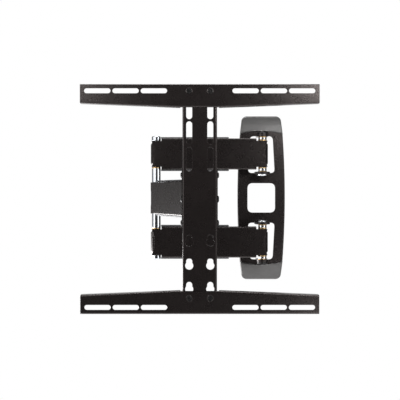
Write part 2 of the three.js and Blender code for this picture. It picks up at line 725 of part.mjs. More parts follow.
piece(head, 'pan_pin', hingeBolt(1, PIN_HEAD_R, PAN_HEAD, PAN_TIP), boltBlack);
piece(head, 'pan_nut', domedNut(1, PIN_HEAD_R, below(PAN_HEAD), 3.2), boltBlack);
piece(head, 'pan_yoke', panYoke(), blackSteel);
piece(head, 'spine', spine(), blackSteel);
piece(head, 'left_guide_plate', guidePlate(-1), blackSteel);
piece(head, 'right_guide_plate', guidePlate(1), blackSteel);
for (const { name, r, z } of CROSS_BOLTS) {
  piece(head, `${name}_bolt`, crossBolt(r, z), boltBlack);
  piece(head, `${name}_nut`, crossNut(r, z), boltBlack);
}

for (const [side, level, boltZ] of [[1, 'upper', RAIL_SLOT_ROW], [-1, 'lower', LOWER_BOLT_Z]]) {
  piece(head, `${level}_rail`, rail(side, boltZ), blackSteel);
  for (const [x, hand] of [[-HOLE_X, 'left'], [HOLE_X, 'right']]) {
    piece(head, `${level}_rail_bolt_${hand}`, railBolt(x, boltZ), boltBlack);
    piece(head, `${level}_rail_nut_${hand}`, flangeNut(x, boltZ), boltBlack);
  }
}

export default mount;
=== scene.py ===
"""A full motion television wall mount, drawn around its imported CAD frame.

Pieces are drawn in millimetres in the frames of their own hinges, then set in the row frame in metres.
Sheet metal gets its bends and eased edges here, and turned pieces their full roundness.
"""

import json
import math
from collections import namedtuple

import bmesh
import bpy
from mathutils import Matrix, Vector


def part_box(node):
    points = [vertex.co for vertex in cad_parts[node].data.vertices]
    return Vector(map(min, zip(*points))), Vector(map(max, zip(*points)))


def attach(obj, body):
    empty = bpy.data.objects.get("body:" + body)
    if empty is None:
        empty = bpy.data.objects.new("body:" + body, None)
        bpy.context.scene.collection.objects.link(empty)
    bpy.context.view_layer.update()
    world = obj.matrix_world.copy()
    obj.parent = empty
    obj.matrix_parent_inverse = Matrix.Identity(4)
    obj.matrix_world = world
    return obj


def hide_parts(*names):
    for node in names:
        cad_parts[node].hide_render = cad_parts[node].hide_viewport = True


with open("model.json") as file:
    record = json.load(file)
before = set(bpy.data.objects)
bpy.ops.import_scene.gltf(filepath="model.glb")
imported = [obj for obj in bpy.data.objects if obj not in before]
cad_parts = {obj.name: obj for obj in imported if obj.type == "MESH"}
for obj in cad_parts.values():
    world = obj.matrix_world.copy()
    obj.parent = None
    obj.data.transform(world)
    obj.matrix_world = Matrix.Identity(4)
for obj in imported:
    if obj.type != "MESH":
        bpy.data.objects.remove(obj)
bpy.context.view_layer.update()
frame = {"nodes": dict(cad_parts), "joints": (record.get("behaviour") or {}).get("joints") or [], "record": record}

MM = 0.001

# ---------------------------------------------------------------- sizes, in millimetres

GAP = 0.3  # air between pieces that rest on each other
SHEET = 2.5  # arms, spine and rails
BEND = 3.0  # outer radius of a pressed bend
EASE = 0.35  # broken edge of cut sheet
NUT_EASE = 0.25
NO_EASE = 0  # for pieces whose outlines already have their rounded edges
PAST = 1  # how far a cutter runs past what it cuts
OVERLAP = 1  # how far two solids run into each other before they are joined
HEXAGON = 6  # sides of a nut or a socket

PLATE_HALF_WIDTH = 53.2
PLATE_SIDE_RADIUS = 1940
PLATE_END = 184
PLATE_DEPTH = 14
PLATE_WALL = 3
PLATE_WINDOW = (31, 33)  # half width and half height
WINDOW_CORNER = 12
WINDOW_CUT = 5  # how far the window cutters stand proud of the plate
HINGE_WINDOW = [(30, 56), (25.5, 138.5), (-25.5, 138.5), (-30, 56)]
HINGE_WINDOW_CORNER = 9
CAP_FROM = 142.7
CAP_RISE = 6.6
CAP_DEPTH = 17
CAP_WALL = 2.4
CAP_CROWN_R = 104
CROWN_SIDES = 80
CROWN_HALF = 60  # wider than the cap that is cut from it
CAP_CORNER = 12
CAP_LIP = 3.0  # the rounded edge of a cap's front
CAP_MOUTH = 8  # how far a cap's hollow runs out past its arched edge
TAB_FROM = 148.9
TAB_TO = 177
TAB_HALF = 38
TAB_CORNER = 9
SCREW_ROW = 163
CENTRE_SCREW_SLOT = (4.5, 4.5)  # half length between centres, and radius
SIDE_SCREW_SLOTS = (28, 3, 4)  # distance from the middle, half length, and radius

WALL_AXIS_Y = -45
ARM_LENGTH = 234.5
PIN_R = 6
BORE_R = PIN_R + GAP
BUSH_R = 8
BUSH_LENGTH = 14
FLANGE = 2
RING_R = 9.8
PIN_HEAD_R = 10
EARS = {(53.2, 57.9): 16.5, (135.6, 140.3): 12.7}  # heights, and the radius of each pair
HINGE_BOLT_HEAD = (140.6, 146)
HINGE_BOLT_TIP = 50.8
HINGE_NUT = (48.9, 52.9)
HINGE_NUT_R = 10.4
HINGE_NUT_BORE = 2.6
TIP_CHAMFER = 0.8
HEAD_DOME = [(0, 1.3), (1.2, 0.2), (3, 0)]  # inwards from a bolt head's rim, and below its top
SOCKET_R = 4
SOCKET_DEPTH = 3
NUT_DOME = [(0.55, 0), (0.9, 1), (1, 2.4)]  # share of a nut's radius, and distance from its crown
ELBOW_CAP = (126.1, 136)  # the pin's head above, its cap nut below
ELBOW_TIP = -132.8
ELBOW_NUT_BORE = 7.5
PAN_HEAD = (43.1, 47.6)
PAN_TIP = -45.8
PAN_NUT_BORE = 3.2

ARM_Z = 97
ARM_FRONT = -13
ARM_BACK = 12
REAR_HALF = 34
FRONT_HALF = 35.3
FRONT_BARREL = 31
WALL_BARREL = (67.8, 126.2)
ELBOW_BARREL = (68.2, 125.8)
BARREL_R = 12
BARREL_NECK_R = 9.5
BARREL_NECK = 7
BARREL_SHOULDER = (0.6, 2)  # where a neck widens: inwards, and each way along the axis
ARC_END_R = 62
CHANNEL_FROM = 14  # an arm's channel starts this far from each axis
WEB_REACH = 15  # its end plates and ribs reach this far from the axis, into the channel
WEB_INSET = 0.5
RIB_INSET = 9  # from the barrel's ends
RIB_BACK = 9
COVER_SPAN = (10.8, 160)
FRONT_COVER_SPAN = (12.5, 190)
COVER_WALL = 3
COVER_BACK = 2
COVER_LIP = -5
COVER_CORNER = 2.2
CABLE_MOUTH_R = 11
CABLE_MOUTH = (-22, 10)  # from the cover's end

TILT_Y = -41
SPINE_HALF = 32
SPINE_FRONT = -69.2
SPINE_BACK = -48
SPINE_LUG = -33
SPINE_Z = (-205, 209)
LUG_TIP = 54  # half height of the lugs at their back edge
LUG_ROOT = 64  # and where they leave the spine's flanges
HOLE_X = 19.5
SPINE_SLOTS = ((153.5, 200), (107.2, 138.5), (57.5, 91))
SPINE_SLOT_R = 5.5
SPINE_HOLE_R = 3.5
KEYHOLE_TOPS = (-66, -109.5, -153)
RAIL_FRONT = -72
RAIL_BACK = -56
RAIL_HALF = 221
RAIL_EDGE = 212.5
RAIL_SLOT_ROW = 200
RAIL_SLOTS = (64.8, 117, 169.2)  # the inner end of each
RAIL_SLOT_LENGTH = 39.5  # between the centres of its round ends
RAIL_SLOT_R = 4.6
RAIL_HEIGHT_MID = 42.8
RAIL_HEIGHT_END = 35.4
RAIL_FLAT = 38
RAIL_NOTCH = 36  # half width of the notch for the spine
RAIL_NOTCH_Z = (150, 220)
RAIL_END_CUT = 5  # how far the hollow runs past the rail's open ends
LOWER_BOLT_Z = -183
BOLT_R = 3
BOLT_HEAD_R = 5.6
BOLT_LENGTH = 11  # behind the front of the spine
BOLT_SOCKET_R = 2.6
BOLT_SOCKET_DEPTH = 1.6
FLANGE_NUT_R = 8.6
FLANGE_NUT_RIM = 0.9
FLANGE_NUT_NECK = (5, 1.8)  # radius and height where the flange meets the hexagon
NUT_HEXAGON_R = 6
NUT_HEIGHT = 6

# ---------------------------------------------------------------- edges and shading

BROKEN_FROM = math.radians(38)  # edges sharper than this are broken
SHARP_FROM = math.radians(50)  # edges sharper than this are shaded as edges
FLAT_WITHIN = math.radians(1)
FLAT_FACE_WEIGHT = 80  # how much the flat faces steer the shading beside a rounded edge
CORNER_SHARE = 0.46  # the most of a side that the curve at one of its ends may take

# ---------------------------------------------------------------- places, from the frame

AXIS = {joint["name"]: Vector(joint["pos_m"]) for joint in frame["joints"] if joint["type"] == "hinge"}
BODY_OF = {
    node: body
    for body, nodes in frame["record"]["behaviour"]["bodies"].items()
    for node in nodes
}


def hinge_frame(origin, turn=0.0):
    """Takes a hinge's own millimetres to the row frame's metres."""
    return Matrix.Translation(origin) @ Matrix.Rotation(turn, 4, "Z") @ Matrix.Scale(MM, 4)


REACH = AXIS["pan_swivel"] - AXIS["elbow_swing"]
MOUNT = hinge_frame((0, 0, 0))
WALL_HINGE = hinge_frame(AXIS["wall_swing"])
ELBOW = hinge_frame(AXIS["elbow_swing"])
FRONT_ARM = hinge_frame(AXIS["elbow_swing"], math.atan2(REACH.y, REACH.x))
HEAD = hinge_frame(AXIS["pan_swivel"])


def heights(node):
    """A node's lowest and highest point, in millimetres."""
    low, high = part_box(node)
    return low.z / MM, high.z / MM


def width(node):
    """A node's width, in millimetres."""
    low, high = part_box(node)
    return (high.x - low.x) / MM


# ---------------------------------------------------------------- outlines


def arc(u, v, r, start, end, steps=16):
    """Points round a centre, from one angle to another, in degrees."""
    angles = [math.radians(start + (end - start) * i / steps) for i in range(steps + 1)]
    return [(u + r * math.cos(a), v + r * math.sin(a)) for a in angles]


def circle(u, v, r, steps=40):
    return arc(u, v, r, 0, 360, steps)[:-1]


def slot(u0, v0, u1, v1, r, steps=16):
    """A slot with round ends, from one end's centre to the other's."""
    angle = math.degrees(math.atan2(v1 - v0, u1 - u0))
    return arc(u1, v1, r, angle - 90, angle + 90, steps) + arc(u0, v0, r, angle + 90, angle + 270, steps)


def rounded(points, r, steps=8, closed=True):
    """A polygon whose corners are curves that start r from each corner, or nearly half a short side."""
    eased = []
    count = len(points)
    for i, (u, v) in enumerate(points):
        if not closed and i in (0, count - 1):
            eased.append((u, v))
            continue
        ends = []
        for a, b in (points[i - 1], points[(i + 1) % count]):
            length = math.hypot(a - u, b - v)
            share = min(r / length, CORNER_SHARE)
            ends.append((u + (a - u) * share, v + (b - v) * share))
        for step in range(steps + 1):
            t = step / steps
            weights = ((1 - t) ** 2, 2 * t * (1 - t), t * t)
            corner = (ends[0], (u, v), ends[1])
            eased.append(tuple(sum(w * p[k] for w, p in zip(weights, corner)) for k in (0, 1)))
    return eased


def mirrored(points, side):
    """An outline drawn for the upper half, turned over for the lower one."""
    return [(u, side * v) for u, v in points]


def ordered(side, a, b):
    """Two heights of the upper half as (low, high) on either side."""
    return tuple(sorted((side * a, side * b)))


# ---------------------------------------------------------------- solids

DRAWN_ON = {
    "Z": lambda u, v, w: (u, v, w),
    "Y": lambda u, v, w: (u, w, v),
    "X": lambda u, v, w: (w, u, v),
}
TURNED_ON = {
    "Z": Matrix(),
    "Y": Matrix.Rotation(-math.pi / 2, 4, "X"),
    "X": Matrix.Rotation(math.pi / 2, 4, "Y"),
}


def solid(bm):
    """A loose Blender object from a bmesh, with its faces pointing out."""
    bmesh.ops.recalc_face_normals(bm, faces=bm.faces)
    mesh = bpy.data.meshes.new("solid")
    bm.to_mesh(mesh)
    bm.free()
    obj = bpy.data.objects.new("solid", mesh)
    bpy.context.scene.collection.objects.link(obj)
    return obj


def prism(outline, span, axis):
    """An outline carried along an axis: drawn in x and y for Z, in x and z for Y, in y and z for X."""
    bm = bmesh.new()
    rings = [[bm.verts.new(DRAWN_ON[axis](u, v, w)) for u, v in outline] for w in span]
    for ring in rings:
        bm.faces.new(ring)
    count = len(outline)
    for i in range(count):
        j = (i + 1) % count
        bm.faces.new((rings[0][i], rings[0][j], rings[1][j], rings[1][i]))
    return solid(bm)


def box(xs, ys, zs):
    (x0, x1), (y0, y1) = sorted(xs), sorted(ys)
    return prism([(x0, y0), (x1, y0), (x1, y1), (x0, y1)], sorted(zs), "Z")


def turned(profile, axis="Z", sides=72, ease=0.4, at=(0, 0, 0)):
    """A turned solid from (radius, height) points. It starts and ends on its axis, or closes on itself."""
    closed = profile[0] == profile[-1]
    points = rounded(profile[:-1] if closed else profile, ease, 4, closed)
    bm = bmesh.new()
    rings = []
    for r, h in points:
        if r < 1e-6:
            rings.append([bm.verts.new((0, 0, h))])
            continue
        turn = [2 * math.pi * i / sides for i in range(sides)]
        rings.append([bm.verts.new((r * math.cos(a), r * math.sin(a), h)) for a in turn])
    pairs = list(zip(rings, rings[1:]))
    if closed:
        pairs.append((rings[-1], rings[0]))
    for a, b in pairs:
        for i in range(sides):
            j = (i + 1) % sides
            corners = [a[i % len(a)], a[j % len(a)], b[j % len(b)], b[i % len(b)]]
            bm.faces.new(list(dict.fromkeys(corners)))
    bmesh.ops.transform(bm, matrix=Matrix.Translation(at) @ TURNED_ON[axis], verts=bm.verts)
    return solid(bm)


def ring_profile(inner, outer, low, high):
    """A plain ring's closed profile, for turned()."""
    return [(inner, low), (outer, low), (outer, high), (inner, high), (inner, low)]


def flipped(profile, side):
    """A turned profile drawn for the upper half, turned over for the lower one."""
    return [(r, side * h) for r, h in profile]


def settle(obj):
    """Applies an object's modifiers to its mesh."""
    bpy.context.view_layer.update()
    made = obj.evaluated_get(bpy.context.evaluated_depsgraph_get())
    mesh = bpy.data.meshes.new_from_object(made)
    spent = obj.data
    obj.modifiers.clear()
    obj.data = mesh
    bpy.data.meshes.remove(spent)


def combined(body, operation, tools):
    """Applies one boolean per tool to the body, and removes the tools."""
    for tool in tools:
        step = body.modifiers.new("combine", "BOOLEAN")
        step.operation = operation
        step.solver = "EXACT"
        step.object = tool
    settle(body)
    for tool in tools:
        spent = tool.data
        bpy.data.objects.remove(tool)
        bpy.data.meshes.remove(spent)
    return body


def cut(body, *tools):
    return combined(body, "DIFFERENCE", tools)


def join(body, *tools):
    return combined(body, "UNION", tools)


def shared(body, *tools):
    return combined(body, "INTERSECT", tools)


def folded(body, radius, chosen, steps=6):
    """Rounds the edges that chosen(end, other end) picks, as a press brake leaves a bend."""
    bm = bmesh.new()
    bm.from_mesh(body.data)
    edges = [edge for edge in bm.edges if chosen(edge.verts[0].co, edge.verts[1].co)]
    bmesh.ops.bevel(
        bm, geom=edges, offset=radius, offset_type="OFFSET", segments=steps, profile=0.5, affect="EDGES",
    )
    bm.to_mesh(body.data)
    bm.free()
    return body


# ---------------------------------------------------------------- materials


class Finish:
    """A material's node tree, built outwards from its principled shader."""

    def __init__(self, name, **sockets):
        self.material = bpy.data.materials.new(name)
        self.material.use_nodes = True
        self.tree = self.material.node_tree
        self.shader = self.tree.nodes["Principled BSDF"]
        self.place = self.add("ShaderNodeTexCoord").outputs["Object"]
        self.set(**sockets)

    def feed(self, socket, value):
        if isinstance(value, bpy.types.NodeSocket):
            self.tree.links.new(value, socket)
        else:
            socket.default_value = value

    def add(self, kind, inputs=(), **settings):
        node = self.tree.nodes.new(kind)
        for key, value in settings.items():
            setattr(node, key, value)
        for key, value in dict(inputs).items():
            self.feed(node.inputs[key], value)
        return node

    def set(self, **sockets):
        for key, value in sockets.items():
            self.feed(self.shader.inputs[key.replace("_", " ")], value)

    def noise(self, scale, detail=2.0, stretch=(1, 1, 1)):
        """Grains of about 1/scale metres; stretch squeezes them along an axis."""
        place = self.add("ShaderNodeMapping", {"Vector": self.place, "Scale": stretch}).outputs[0]
        inputs = {"Vector": place, "Scale": scale, "Detail": detail}
        return self.add("ShaderNodeTexNoise", inputs).outputs[0]

    def ramp(self, value, low, high, out_low, out_high):
        """A smooth step from one output to the other as the value goes from low to high."""
        inputs = {"Value": value, "From Min": low, "From Max": high, "To Min": out_low, "To Max": out_high}
        return self.add("ShaderNodeMapRange", inputs, interpolation_type="SMOOTHSTEP").outputs[0]

    def product(self, a, b):
        return self.add("ShaderNodeMath", {0: a, 1: b}, operation="MULTIPLY").outputs[0]

    def mix(self, factor, a, b):
        inputs = {0: factor, 6: (*a, 1) if isinstance(a, tuple) else a, 7: (*b, 1)}
        return self.add("ShaderNodeMix", inputs, data_type="RGBA").outputs[2]

    def bump(self, height, depth, under=None):
        """Relief whose full height is depth, in metres."""
        inputs = {"Height": height, "Distance": depth, "Strength": 1.0}
        if under is not None:
            inputs["Normal"] = under
        return self.add("ShaderNodeBump", inputs).outputs[0]

    def edges(self, radius):
        """1 along the edges and 0 on the flats: the mask for the finishes' painted edge highlights."""
        soft = self.add("ShaderNodeBevel", {"Radius": radius}, samples=6).outputs[0]
        true = self.add("ShaderNodeNewGeometry").outputs["True Normal"]
        facing = self.add("ShaderNodeVectorMath", {0: soft, 1: true}, operation="DOT_PRODUCT")
        return self.ramp(facing.outputs["Value"], 0.97, 0.74, 0.0, 1.0)


def powder_coat():
    """Satin black powder: fine orange peel, faint clouding, and edges painted paler as a painted edge highlight.
    """
    coat = Finish("satin_black_powder_coat")
    cloud = coat.ramp(coat.noise(24, 3), 0.2, 0.8, 0, 1)
    base = coat.mix(cloud, (0.0036, 0.0027, 0.0026), (0.0050, 0.0038, 0.0037))
    speck = coat.ramp(coat.noise(2600, 1), 0.62, 0.78, 0, 0.5)
    base = coat.mix(speck, base, (0.012, 0.010, 0.0095))
    # painted highlight: the edges are painted paler where the bends would catch the light
    painted_edge_highlight = coat.product(coat.edges(0.0009), coat.ramp(coat.noise(260, 4), 0.35, 0.62, 0.25, 1))
    base = coat.mix(painted_edge_highlight, base, (0.046, 0.041, 0.039))
    rough = coat.ramp(coat.noise(75, 4), 0.2, 0.8, 0.265, 0.29)
    relief = coat.bump(coat.noise(1250, 2), 0.000045)
    relief = coat.bump(coat.noise(5200, 1), 0.000012, relief)
    coat.set(Base_Color=base, Roughness=rough, Normal=relief, Specular_Tint=(1, 0.89, 0.87, 1))
    return coat.material


def black_oxide():
    """Blackened steel with a thin oil sheen, its edges painted paler as a painted edge highlight."""
    steel = Finish("black_oxide_steel", Metallic=0.85)
    cloud = steel.ramp(steel.noise(420, 3), 0.35, 0.65, 0, 1)
    base = steel.mix(cloud, (0.020, 0.020, 0.021), (0.040, 0.038, 0.037))
    # painted highlight: paler steel colour along the edges, standing in for light caught on them
    painted_steel_edge_highlight = steel.product(steel.edges(0.0006), steel.ramp(steel.noise(700, 3), 0.4, 0.65, 0.1, 0.9))
    base = steel.mix(painted_steel_edge_highlight, base, (0.20, 0.19, 0.18))
    rough = steel.ramp(steel.noise(300, 3), 0.3, 0.7, 0.26, 0.40)
    steel.set(Base_Color=base, Roughness=rough, Normal=steel.bump(steel.noise(2400, 2), 0.000015))
    return steel.material


def chrome():
    """Polished nickel chrome with the faint rings that turning leaves."""
    plate = Finish("polished_chrome", Metallic=1.0)
    cloud = plate.ramp(plate.noise(160, 3), 0.35, 0.7, 0, 1)
    base = plate.mix(cloud, (0.76, 0.80, 0.85), (0.86, 0.88, 0.90))
    rings = plate.noise(900, 2, stretch=(0.05, 0.05, 3.0))
    rough = plate.ramp(plate.noise(240, 3), 0.3, 0.7, 0.06, 0.15)
    plate.set(Base_Color=base, Roughness=rough, Normal=plate.bump(rings, 0.000006))
    return plate.material


def brass():
    """Bearing brass: turned rings, dulled a little where air and oil have reached it."""
    metal = Finish("bearing_brass", Metallic=1.0)
    dull = metal.ramp(metal.noise(380, 4), 0.38, 0.66, 0, 1)
    base = metal.mix(dull, (0.78, 0.55, 0.27), (0.55, 0.36, 0.17))
    rings = metal.noise(1100, 2, stretch=(0.05, 0.05, 3.0))
    rough = metal.ramp(metal.noise(300, 3), 0.3, 0.7, 0.20, 0.36)
    metal.set(Base_Color=base, Roughness=rough, Normal=metal.bump(rings, 0.000008))
    return metal.material


def cap_plastic():
    """Moulded caps in satin metallic grey, with fine flake in the lacquer."""
    cap = Finish("metallic_grey_plastic", Metallic=0.6)
    flake = cap.add("ShaderNodeTexVoronoi", {"Vector": cap.place, "Scale": 3400.0}).outputs["Distance"]
    base = cap.mix(cap.ramp(flake, 0.1, 0.6, 0, 1), (0.122, 0.120, 0.118), (0.086, 0.084, 0.083))
    # painted highlight: the cap's edges and lip are painted paler where they would catch the light
    painted_cap_edge_highlight = cap.product(cap.edges(0.0008), cap.ramp(cap.noise(420, 3), 0.4, 0.65, 0, 0.7))
    base = cap.mix(painted_cap_edge_highlight, base, (0.36, 0.36, 0.36))
    rough = cap.ramp(cap.noise(90, 4), 0.3, 0.7, 0.38, 0.46)
    cap.set(Base_Color=base, Roughness=rough, Normal=cap.bump(cap.noise(2800, 2), 0.000014))
    return cap.material


def cover_plastic():
    """Dark grey moulded covers with a fine spark-eroded grain."""
    cover = Finish("grained_grey_plastic")
    cloud = cover.ramp(cover.noise(50, 3), 0.3, 0.7, 0, 1)
    base = cover.mix(cloud, (0.046, 0.046, 0.048), (0.062, 0.062, 0.065))
    # painted highlight: the cover's edges and lips are painted paler where they would catch the light
    painted_cover_edge_highlight = cover.product(cover.edges(0.0007), cover.ramp(cover.noise(500, 3), 0.42, 0.65, 0, 0.6))
    base = cover.mix(painted_cover_edge_highlight, base, (0.12, 0.12, 0.125))
    rough = cover.ramp(cover.noise(120, 3), 0.3, 0.7, 0.38, 0.50)
    cover.set(Base_Color=base, Roughness=rough, Normal=cover.bump(cover.noise(2100, 3), 0.00004))
    return cover.material


FINISHES = {
    "powder_coat": powder_coat(),
    "black_oxide": black_oxide(),
    "chrome": chrome(),
    "brass": brass(),
    "cap_plastic": cap_plastic(),
    "cover_plastic": cover_plastic(),
}


def dress(obj, slot_name):
    """Gives an object the finish of one of the record's material slots."""
    obj.data.materials.clear()
    obj.data.materials.append(FINISHES[slot_name])


def broken_edges(obj, ease):
    """Breaks an object's sharp edges; returns the modifier."""
    soften = obj.modifiers.new("broken_edges", "BEVEL")
    soften.width = ease * MM
    soften.segments = 2
    soften.limit_method = "ANGLE"
    soften.angle_limit = BROKEN_FROM
    soften.use_clamp_overlap = False
    return soften


def place(node, obj, placing, slot_name, ease=EASE):
    """Sets a finished piece in the row frame, in its CAD node's stead."""
    obj.data.transform(placing)
    obj.name = obj.data.name = f"fine_{node}"
    if ease:
        broken_edges(obj, ease).miter_outer = "MITER_ARC"
    obj.data.shade_smooth()
    obj.data.set_sharp_from_angle(angle=SHARP_FROM)
    weigh = obj.modifiers.new("flat_faces", "WEIGHTED_NORMAL")
    weigh.keep_sharp = not ease
    weigh.weight = FLAT_FACE_WEIGHT
    dress(obj, slot_name)
    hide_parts(node)
    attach(obj, BODY_OF[node])


# ---------------------------------------------------------------- wall plate and caps


def side_at(z):
    """Half the plate's width at a height: its sides bow outwards on a large radius."""
    return PLATE_HALF_WIDTH - PLATE_SIDE_RADIUS + math.sqrt(PLATE_SIDE_RADIUS**2 - z**2)


def plate_outline(z, inset):
    """The plate's outline out to a height, moved inwards by an inset."""
    r = PLATE_SIDE_RADIUS - inset
    angle = math.degrees(math.asin(z / r))
    offset = PLATE_SIDE_RADIUS - PLATE_HALF_WIDTH
    right = arc(-offset, 0, r, -angle, angle, steps=28)
    return right + arc(offset, 0, r, 180 - angle, 180 + angle, steps=28)


def hinge_ear(r, span):
    """A flat ear that stands out from the plate's face round the hinge pin."""
    root = -PLATE_DEPTH + PLATE_WALL
    outline = [(r, root), *reversed(arc(0, WALL_AXIS_Y, r, 180, 360, steps=40)), (-r, root)]
    return prism(outline, span, "Z")


def wall_plate():
    """A pressed tray with stepped ends under the caps, screw tabs, windows and bored hinge ears."""
    face = (-PLATE_DEPTH, 0)
    behind = (-PLATE_DEPTH + PLATE_WALL, PAST)
    through = (-PLATE_DEPTH - WINDOW_CUT, PAST)

    def along_sides(a, b):
        front_rim = a.y == b.y == -PLATE_DEPTH and max(abs(a.z), abs(b.z)) <= CAP_FROM
        return front_rim and a.x * b.x > 0

    tray = folded(prism(plate_outline(CAP_FROM - GAP, 0), face, "Y"), BEND, along_sides)
    tray = join(tray, prism(plate_outline(TAB_FROM + PLATE_WALL, PLATE_WALL), face, "Y"))
    hollow = prism(plate_outline(CAP_FROM - GAP - PLATE_WALL, PLATE_WALL), behind, "Y")
    wide, tall = PLATE_WINDOW
    window = rounded([(wide, -tall), (wide, tall), (-wide, tall), (-wide, -tall)], WINDOW_CORNER)
    step_hollow = prism(plate_outline(TAB_FROM, PLATE_WALL * 2), behind, "Y")
    cutters = [hollow, step_hollow, prism(window, through, "Y")]
    for side in (1, -1):
        hinge_window = mirrored(rounded(HINGE_WINDOW, HINGE_WINDOW_CORNER), side)
        cutters.append(prism(hinge_window, through, "Y"))
    tray = cut(tray, *cutters)
    tabs, holes, ears, bores = [], [], [], []
    for side in (1, -1):
        root = TAB_FROM - OVERLAP
        corners = [(TAB_HALF, root), (TAB_HALF, TAB_TO), (-TAB_HALF, TAB_TO), (-TAB_HALF, root)]
        tabs.append(prism(mirrored(rounded(corners, TAB_CORNER), side), (-PLATE_WALL, 0), "Y"))
        row = side * SCREW_ROW
        half, r = CENTRE_SCREW_SLOT
        screw_slots = [slot(0, row - half, 0, row + half, r)]
        out, half, r = SIDE_SCREW_SLOTS
        screw_slots += [slot(x - half, row, x + half, row, r) for x in (-out, out)]
        holes += [prism(outline, (-PLATE_WALL - PAST, PAST), "Y") for outline in screw_slots]
        for (low, high), r in EARS.items():
            ears.append(hinge_ear(r, ordered(side, low, high)))
            span = ordered(side, low - PAST, high + PAST)
            bores.append(prism(circle(0, WALL_AXIS_Y, BORE_R), span, "Z"))
    return cut(join(tray, *tabs, *ears), *holes, *bores)


def cap_outline(side, inset, start):
    """A cap seen from the front: an arched inner edge, straight sides and a rounded outer end."""
    corner = CAP_CORNER - inset
    top = PLATE_END - inset
    half = side_at(start) - inset
    top_half = side_at(top) - inset
    arch_r = (half**2 + CAP_RISE**2) / (2 * CAP_RISE)
    arch = math.degrees(math.asin(half / arch_r))
    outline = arc(top_half - corner, top - corner, corner, 0, 90, steps=14)
    outline += arc(corner - top_half, top - corner, corner, 90, 180, steps=14)
    outline += arc(0, start + CAP_RISE - arch_r, arch_r, 90 + arch, 90 - arch, steps=32)
    return mirrored(outline, side)


def end_cap(side):
    """A cap whose front falls away from its arched edge towards the end of the plate."""
    axis_y = CAP_CROWN_R - CAP_DEPTH

    def crown(r):
        outline = circle(axis_y, side * CAP_FROM, r, CROWN_SIDES)
        return prism(outline, (-CROWN_HALF, CROWN_HALF), "X")

    def on_rim(a, b):
        """Round the front, but not the crown's facet lines or edges that run from front to back."""
        along_end = min(abs(a.z), abs(b.z)) > PLATE_END - 0.01
        across_crown = abs(a.z - b.z) > 0.001
        return max(a.y, b.y) < -1 and (across_crown or along_end) and abs(a.y - b.y) < 3

    front = -CAP_DEPTH - PAST
    outer = shared(prism(cap_outline(side, 0, CAP_FROM), (front, -GAP), "Y"), crown(CAP_CROWN_R))
    outer = folded(outer, CAP_LIP, on_rim)
    inner = prism(cap_outline(side, CAP_WALL, CAP_FROM - CAP_MOUTH), (front, PAST), "Y")
    return cut(outer, shared(inner, crown(CAP_CROWN_R - CAP_WALL)))


# ---------------------------------------------------------------- hinge fittings


def hinge_bolt(side, head_r, head, tip):
    """A bolt with a round, slightly domed head and a hexagon socket."""
    low, high = head
    profile = [(0, tip), (PIN_R - TIP_CHAMFER, tip), (PIN_R, tip + TIP_CHAMFER), (PIN_R, low)]
    profile.append((head_r, low))
    profile += [(head_r - inwards, high - below) for inwards, below in HEAD_DOME]
    bolt = turned(flipped([*profile, (0, high)], side))
    socket = ordered(side, high - SOCKET_DEPTH, high + PAST)
    return cut(bolt, prism(circle(0, 0, SOCKET_R, HEXAGON), socket, "Z"))


def domed_nut(side, r, span, depth):
    """A blind nut, domed at the low end of its span and bored to a depth from the high end."""
    low, high = span
    profile = [(0, low), *((r * share, low + rise) for share, rise in NUT_DOME), (r, high)]
    profile += [(BORE_R, high), (BORE_R, high - depth), (0, high - depth)]
    return turned(flipped(profile, side))


def bushing(up, flange_at):
    """A bushing whose flange rests on the end of a barrel; up is the way the flange faces."""
    low, high = flange_at - BUSH_LENGTH, flange_at + FLANGE
    profile = [(BORE_R, low), (BUSH_R, low), (BUSH_R, flange_at), (RING_R, flange_at), (RING_R, high)]
    profile += [(BORE_R, high), (BORE_R, low)]
    return turned(flipped(profile, up), ease=0.3)


# ---------------------------------------------------------------- arms


End = namedtuple("End", "x way barrel web past bite")


def barrel(x, span):
    """A hinge barrel with a narrower neck at each end, before its bore is cut."""
    low, high = span
    inwards, ease = BARREL_SHOULDER
    neck = low + BARREL_NECK
    lower = [(BARREL_NECK_R, low), (BARREL_NECK_R, neck - ease)]
    lower += [(BARREL_R - inwards, neck), (BARREL_R, neck + ease)]
    upper = [(r, low + high - h) for r, h in reversed(lower)]
    return turned([(0, low), *lower, *upper, (0, high)], ease=1.2, at=(x, 0, 0))


def channel(half, front, back):
    """The closed outline of a folded channel in y and z: its web in front, its flanges running back."""
    inner = half - SHEET
    tight = BEND - SHEET
    bend, inner_bend = front + BEND, front + SHEET + tight
    outline = [(back, -half), *reversed(arc(bend, BEND - half, BEND, 180, 270, steps=6))]
    outline += reversed(arc(bend, half - BEND, BEND, 90, 180, steps=6))
    outline += [(back, half), (back, inner)]
    outline += arc(inner_bend, inner - tight, tight, 90, 180, steps=3)
    outline += [*arc(inner_bend, tight - inner, tight, 180, 270, steps=3), (back, -inner)]
    return outline


